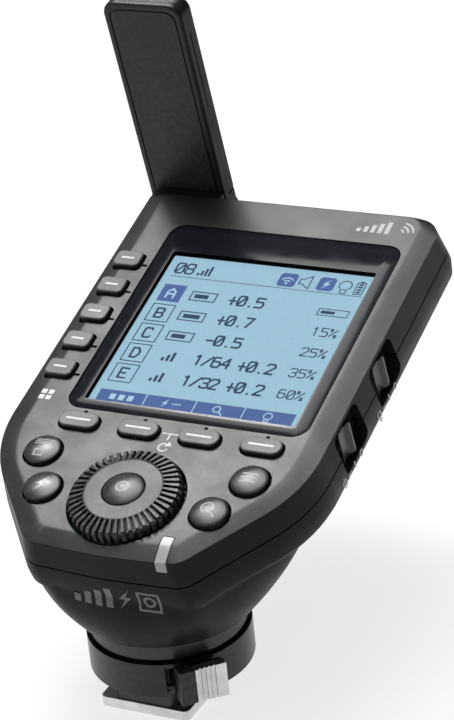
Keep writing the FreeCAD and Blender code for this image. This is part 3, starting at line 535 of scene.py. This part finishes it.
GRID = 6                           # squares along each side of a character's grid
SLIM = 0.62                        # a character's width over its height
GLYPHS = {
    "0": [[(1, 0), (0, 1), (0, 5), (1, 6), (5, 6), (6, 5), (6, 1), (5, 0), (1, 0)], [(1, 1), (5, 5)]],
    "1": [[(1, 5), (3, 6), (3, 0)]],
    "2": [[(0, 5), (1, 6), (5, 6), (6, 5), (6, 4), (0, 0), (6, 0)]],
    "3": [[(0, 5), (1, 6), (5, 6), (6, 5), (6, 4), (5, 3), (2, 3)],
          [(5, 3), (6, 2), (6, 1), (5, 0), (1, 0), (0, 1)]],
    "4": [[(5, 0), (5, 6), (0, 2), (6, 2)]],
    "5": [[(6, 6), (0, 6), (0, 3.5), (5, 3.5), (6, 2.5), (6, 1), (5, 0), (0, 0)]],
    "6": [[(5, 6), (1, 6), (0, 5), (0, 1), (1, 0), (5, 0), (6, 1), (6, 2.5), (5, 3.5), (0, 3.5)]],
    "7": [[(0, 6), (6, 6), (2, 0)]],
    "8": [[(1, 3), (0, 4), (0, 5), (1, 6), (5, 6), (6, 5), (6, 4), (5, 3), (1, 3), (0, 2), (0, 1), (1, 0),
           (5, 0), (6, 1), (6, 2), (5, 3)]],
    "+": [[(0.5, 2.5), (5.5, 2.5)], [(3, 0), (3, 5)]],
    "-": [[(0.5, 2.5), (5.5, 2.5)]],
    "/": [[(0, 0), (6, 6)]],
    ".": [[(2.6, 0), (3.4, 0)]],
    "%": [[(0, 0.5), (6, 5.5)], [(0, 4.4), (0, 6), (1.6, 6), (1.6, 4.4), (0, 4.4)],
          [(4.4, 0), (4.4, 1.6), (6, 1.6), (6, 0), (4.4, 0)]],
    "A": [[(0, 0), (0, 4), (3, 6), (6, 4), (6, 0)], [(0, 2.5), (6, 2.5)]],
    "B": [[(0, 0), (0, 6), (5, 6), (6, 5), (6, 4), (5, 3), (0, 3)], [(5, 3), (6, 2), (6, 1), (5, 0), (0, 0)]],
    "C": [[(6, 5), (5, 6), (1, 6), (0, 5), (0, 1), (1, 0), (5, 0), (6, 1)]],
    "D": [[(0, 0), (0, 6), (4, 6), (6, 4), (6, 2), (4, 0), (0, 0)]],
    "E": [[(6, 6), (0, 6), (0, 0), (6, 0)], [(0, 3), (4.5, 3)]],
}
BOLT = [(0.55, 1.0), (-0.55, -0.1), (0.0, -0.1), (-0.5, -1.0), (0.6, 0.15), (0.05, 0.15)]


def bolt(legend, x, y, size):
    """Lightning sign from two halves that meet in the middle."""
    scaled = [(x + px * size, y + py * size) for px, py in BOLT]
    legend.patch([scaled[0], scaled[1], scaled[2], scaled[5]])
    legend.patch([scaled[2], scaled[3], scaled[4], scaled[5]])


LCD_Z = -1.42                      # the screen panel's face, which the field is laid on
MARK_Z = LCD_Z + 0.03              # dark marks and blocks, on the field
PALE_Z = LCD_Z + 0.05              # pale marks, on the blocks
ROW_LOW, ROW_PITCH = 52.7, 5.76    # lower edge of the first row, and the step down to the next
BAR = (23.9, 27.3)                 # the screen's bottom bar, from and to


def clipped(x0, y0, x1, y1, cut):
    """Corners of a rectangle with each corner cut off."""
    return [(x0 + cut, y0), (x1 - cut, y0), (x1, y0 + cut), (x1, y1 - cut),
            (x1 - cut, y1), (x0 + cut, y1), (x0, y1 - cut), (x0, y0 + cut)]


def build_screen():
    """The lit screen: its field, then the marks on it, all under the clear window."""
    field = Legend(flat(LCD_Z), thick=0.02)
    field.box(-21.15, 25.3, 21.95, 66.9)
    field.done("lcd_field", lcd_blue, "housing")
    marks = Legend(flat(MARK_Z), thick=0.01)
    blocks = Legend(flat(MARK_Z), thick=0.01)
    pale = Legend(flat(PALE_Z), thick=0.02)
    marks.glyphs("0", -18.2, 61.1, 2.8, 2.1, 0.42)
    marks.glyphs("8", -16.0, 61.1, 2.8, 2.1, 0.42)
    for i in range(4):
        marks.box(-13.2 + i * 0.8, -12.7 + i * 0.8, 61.0, 61.7 + i * 0.7)
    marks.box(-18.5, 23.0, 59.98, 60.12)
    for x0, x1 in ((4.4, 8.2), (12.8, 16.4)):
        blocks.patch(clipped(x0, 60.6, x1, 64.4, 0.5))
    pale.arc(6.3, 61.6, 0.7, 30, 150, 0.28, 6)
    pale.arc(6.3, 61.6, 1.5, 35, 145, 0.28, 8)
    pale.arc(6.3, 61.5, 0.15, 0, 360, 0.3, 6)
    marks.line([(8.9, 61.8), (8.9, 63.2), (9.6, 63.2), (11.2, 64.3), (11.2, 60.7), (9.6, 61.8)], 0.24, True)
    bolt(pale, 14.6, 62.5, 1.4)
    marks.arc(18.6, 62.7, 1.3, -50, 230, 0.24, 12)
    marks.frame(18.0, 19.2, 60.5, 61.5, 0.22)
    marks.frame(20.9, 22.6, 60.6, 63.9, 0.22)
    marks.box(21.4, 22.1, 63.9, 64.3)
    for i in range(4):
        marks.box(21.3, 22.2, 60.95 + i * 0.72, 61.4 + i * 0.72)
    rows = [("A", "gauge", "+0.5", "", ""), ("B", "gauge", "+0.7", "", "15%"),
            ("C", "gauge", "-0.5", "", "25%"), ("D", "bars", "1/64", "+0.2", "35%"),
            ("E", "bars", "1/32", "+0.2", "60%")]
    for i, (letter, sign, value, trim, share) in enumerate(rows):
        low = ROW_LOW - i * ROW_PITCH
        if i == 0:
            blocks.box(-18.45, -13.55, low, low + 4.9)
            pale.glyphs(letter, -16.9, low + 1.1, 2.6, 2.1, 0.42)
        else:
            marks.frame(-18.4, -13.6, low, low + 4.85, 0.24)
            marks.glyphs(letter, -16.9, low + 1.1, 2.6, 2.1, 0.46)
        if sign == "gauge":
            marks.frame(-11.7, -6.3, low + 1.2, low + 3.6, 0.26)
            marks.box(-10.9, -7.9 + (i % 2) * 0.6, low + 1.85, low + 2.95)
        else:
            for k in range(3):
                marks.box(-10.2 + k * 1.0, -9.6 + k * 1.0, low + 1.2, low + 2.1 + k * 0.8)
        for text, x in ((value, -3.3), (trim, 6.1)):
            marks.glyphs(text, x, low + 1.2, 2.6, 1.95, 0.46)
        marks.glyphs(share, 16.9, low + 1.3, 2.2, 1.85, 0.28)
    marks.frame(15.9, 22.2, 53.9, 55.7, 0.2)
    marks.box(16.5, 19.4, 54.4, 55.2)
    blocks.box(-18.6, 22.6, *BAR)
    for x in (-8.5, 2.0, 12.2):
        pale.box(x - 0.1, x + 0.1, *BAR)
    for k in range(3):
        pale.box(-16.0 + k * 1.9, -14.8 + k * 1.9, 24.9, 26.3)
    bolt(pale, -4.2, 25.7, 1.1)
    pale.line([(-2.6, 25.7), (-0.9, 25.7)], 0.24)
    pale.arc(6.7, 25.9, 0.75, 0, 360, 0.26, 14)
    pale.line([(7.25, 25.35), (8.1, 24.6)], 0.3)
    pale.arc(17.3, 25.9, 0.85, -50, 230, 0.24, 12)
    pale.frame(16.9, 17.7, 24.4, 25.1, 0.22)
    marks.done("lcd_marks", lcd_dark, "housing")
    blocks.done("lcd_blocks", lcd_bar, "housing")
    pale.done("lcd_pale_marks", lcd_pale, "housing")


KEY_FACE = 1.0                     # height of the group keys' and soft keys' tops over the panel
GROUP_Y, GROUP_PITCH = 61.4, 7.98  # far group key, and the step to the next
SOFT_X, SOFT_PITCH = -17.8, 12.72  # left soft key, and the step to the next
ROUND_KEY = (0.75, 1.35, 3.6)      # a round key's edge height, top height and radius


def build_legends():
    """Printed marks on the panel and the keys: plain signs only, no words."""
    for i in range(5):
        mark = Legend(flat(KEY_FACE))
        y = GROUP_Y - i * GROUP_PITCH
        mark.box(-29.5, -26.7, y - 0.25, y + 0.25)
        mark.done("group_mark_%d" % (i + 1), key_mark, "group_button_%d" % (i + 1))
    for i in range(4):
        mark = Legend(flat(KEY_FACE))
        x = SOFT_X + i * SOFT_PITCH
        mark.box(x - 2.6, x + 2.6, 16.35, 16.85)
        mark.done("soft_mark_%d" % (i + 1), key_mark, "soft_key_%d" % (i + 1))
    mode = Legend(dome(-21.5, 8.1, *ROUND_KEY), cell=0.6)
    for k in range(3):
        mode.box(-23.4, -20.4 + k * 0.5, 8.9 + k * 0.55, 9.15 + k * 0.55)
    mode.frame(-22.4, -20.7, 6.1, 7.4, 0.3)
    mode.arc(-21.55, 7.4, 0.55, 0, 180, 0.25, 8)
    mode.done("mode_sign", grey_ink, "mode_button")
    test = Legend(dome(-17.2, -0.7, *ROUND_KEY), cell=0.6)
    bolt(test, -17.2, -0.7, 1.9)
    test.done("test_sign", white_ink, "test_button")
    menu = Legend(dome(21.5, 8.1, *ROUND_KEY), cell=0.6)
    for k in range(3):
        menu.box(19.9, 23.1, 7.0 + k * 0.95, 7.35 + k * 0.95)
    menu.done("menu_sign", grey_ink, "menu_button")
    zoom = Legend(dome(17.2, -0.7, *ROUND_KEY), cell=0.6)
    zoom.arc(16.9, -0.3, 1.2, 0, 360, 0.35, 20)
    zoom.line([(17.75, -1.15), (18.7, -2.1)], 0.4)
    zoom.line([(16.3, -0.3), (17.5, -0.3)], 0.28)
    zoom.done("zoom_sign", grey_ink, "zoom_button")
    ring = Legend(dome(0, 0, 2.45, 3.2, 3.95), cell=0.6)
    ring.arc(0, 0, 1.15, 0, 360, 0.35, 20)
    ring.arc(0, 0, 0.2, 0, 360, 0.4, 10)
    ring.done("set_sign", grey_ink, "set_button")
    band = Legend(flat(0.0))
    for radius in (1.0, 2.0, 3.0):
        band.arc(24.3, 77.6, radius, 10, 80, 0.42, 8)
    for k, height in enumerate((1.0, 1.6, 2.2, 2.8, 3.4)):
        band.box(15.4 + k * 1.5, 16.3 + k * 1.5, 77.0, 77.0 + height)
    band.done("band_print", grey_ink, "housing")
    panel = Legend(flat(0.0))
    panel.line([(-0.2, 16.9), (3.0, 16.9)], 0.28)
    panel.line([(1.4, 16.9), (1.4, 15.4)], 0.28)
    panel.arc(1.4, 13.4, 0.95, 60, 350, 0.3, 16)
    panel.patch([(1.5, 13.7), (2.9, 14.0), (2.1, 15.0)])
    for dx in (0, 1.5):
        for dy in (0, 1.5):
            panel.box(-29.3 + dx, -28.2 + dx, 21.3 + dy, 22.4 + dy)
    panel.done("panel_print", white_ink, "housing")


def wall_matrix():
    """Frame on the right wall: X runs up the panel, Y towards the panel's face, Z out of the wall."""
    turn = Matrix(((0, 0, 1, 0), (1, 0, 0, 0), (0, 1, 0, 0), (0, 0, 0, 1)))
    return PANEL @ turn


def wall_height(x, y):
    """Height of the signs, on a plane that stays close to the right wall just below its seam.

    Lower down the wall turns in, so the lowest parts of the signs stand up to 0.7 mm off it.
    """
    wall, seam, slope, proud = 32.6, -6.4, 0.1, 0.07
    return wall + (seam - y) * slope + proud


def build_wall_signs():
    """Position marks under the two slide switches."""
    signs = Legend(wall_height, wall_matrix())
    for start in (19.2, 37.2):
        signs.line([(start + 6.4, -11.4), (start + 6.4, -10.1)], 0.3)
        signs.arc(start + 9.6, -10.8, 0.55, 0, 360, 0.28, 12)
        signs.line([(start + 3.2, -10.8), (start + 4.6, -10.8)], 0.25)
    signs.arc(20.6, -10.8, 0.75, 120, 420, 0.28, 14)
    signs.line([(20.6, -10.7), (20.6, -9.7)], 0.28)
    signs.arc(38.6, -10.7, 0.75, -50, 230, 0.28, 14)
    signs.frame(38.25, 38.95, -12.0, -11.5, 0.22)
    signs.done("wall_signs", white_ink, "housing")


def build_near_sign():
    """Plain sign on the housing's near face, laid on the lower shell's skin."""
    skin = bpy.data.objects["bottom_shell_skin"].data
    tree = BVHTree.FromPolygons([v.co for v in skin.vertices], [p.vertices for p in skin.polygons])
    outward = Matrix(((1, 0, 0, 0), (0, 0, -1, 0), (0, 1, 0, 0), (0, 0, 0, 1)))
    stand = DEVICE @ outward

    def skin_height(x, y):
        start = Vector((x * MM, -0.05, y * MM))
        place = tree.ray_cast(start, Vector((0, 1, 0)))[0]
        return -place.y / MM
    sign = Legend(skin_height, stand, thick=0.06, cell=0.5)
    for i, tall in enumerate((1.6, 2.5, 3.4, 4.3)):
        sign.box(-7.4 + i * 2.3, -6.0 + i * 2.3, 27.6, 27.6 + tall)
    bolt(sign, 3.4, 29.9, 2.3)
    sign.frame(6.3, 10.4, 27.9, 31.9, 0.5)
    sign.arc(8.35, 29.9, 1.0, 0, 360, 0.5, 20)
    sign.done("near_sign", sign_grey, "housing")


build_screen()
build_legends()
build_wall_signs()
build_near_sign()


# ---------------------------------------------------------------- floor, light and camera
def build_floor():
    """Plain pale floor just under the contacts, which stand 0.6 mm out of the foot."""
    mesh = bmesh.new()
    reach, depth = 3.0, -0.0007
    corners = [mesh.verts.new((x * reach, y * reach, depth)) for x, y in ((-1, -1), (1, -1), (1, 1), (-1, 1))]
    mesh.faces.new(corners)
    data = bpy.data.meshes.new("floor")
    mesh.to_mesh(data)
    mesh.free()
    floor = bpy.data.objects.new("floor", data)
    bpy.context.scene.collection.objects.link(floor)
    material, _, _, shader = new_material("floor_paper")
    shader.inputs["Base Color"].default_value = (0.16, 0.16, 0.16, 1)
    shader.inputs["Roughness"].default_value = 0.8
    shader.inputs["Emission Color"].default_value = (1, 1, 1, 1)
    shader.inputs["Emission Strength"].default_value = 0.78
    data.materials.append(material)


def area_light(name, place, target, size, power, size_y=None):
    """Soft light of a square or, with size_y, a rectangle."""
    data = bpy.data.lights.new(name, "AREA")
    data.energy = power
    data.size = size
    if size_y:
        data.shape = "RECTANGLE"
        data.size_y = size_y
    light = bpy.data.objects.new(name, data)
    light.location = place
    light.rotation_euler = (Vector(target) - Vector(place)).to_track_quat("-Z", "Y").to_euler()
    bpy.context.scene.collection.objects.link(light)


def build_camera():
    """Camera at the reference view's angle, with a long lens."""
    data = bpy.data.cameras.new("camera")
    camera = bpy.data.objects.new("camera", data)
    bpy.context.scene.collection.objects.link(camera)
    place = (0.2167, -0.3615, 0.2689)
    # In degrees: turned from +Y towards -X, tipped down, and rolled about the line of sight.
    heading, tip, roll = 28.563, 25.594, -5.943
    turn = Matrix.Identity(4)
    for angle, axis in ((heading, "Z"), (90 - tip, "X"), (roll, "Z")):
        turn = turn @ Matrix.Rotation(math.radians(angle), 4, axis)
    camera.matrix_world = Matrix.Translation(place) @ turn
    data.lens = 129.9
    data.clip_start, data.clip_end = 0.01, 20
    bpy.context.scene.camera = camera


build_floor()
build_camera()
middle = (0, 0.03, 0.05)
# The softbox stands where the panel mirrors it into the camera; the spot adds the sheen by the dial.
area_light("panel_softbox", (-0.19, 0.20, 0.68), (0.01, 0.03, 0.05), 0.48, 6.2, 0.50)
area_light("panel_spot", (-0.295, 0.255, 0.68), (0.01, 0.005, 0.045), 0.12, 1.7)
area_light("front_left", (-0.75, -0.75, 0.35), middle, 0.30, 1.6, 0.8)
area_light("floor_wash", (0.0, 0.1, 1.6), (0, 0.1, 0), 1.6, 9.0)
world = bpy.data.worlds.new("studio")
world.use_nodes = True
world.node_tree.nodes["Background"].inputs["Color"].default_value = (1, 1, 1, 1)
world.node_tree.nodes["Background"].inputs["Strength"].default_value = 0.1
bpy.context.scene.world = world
bpy.context.scene.view_settings.view_transform = "Standard"
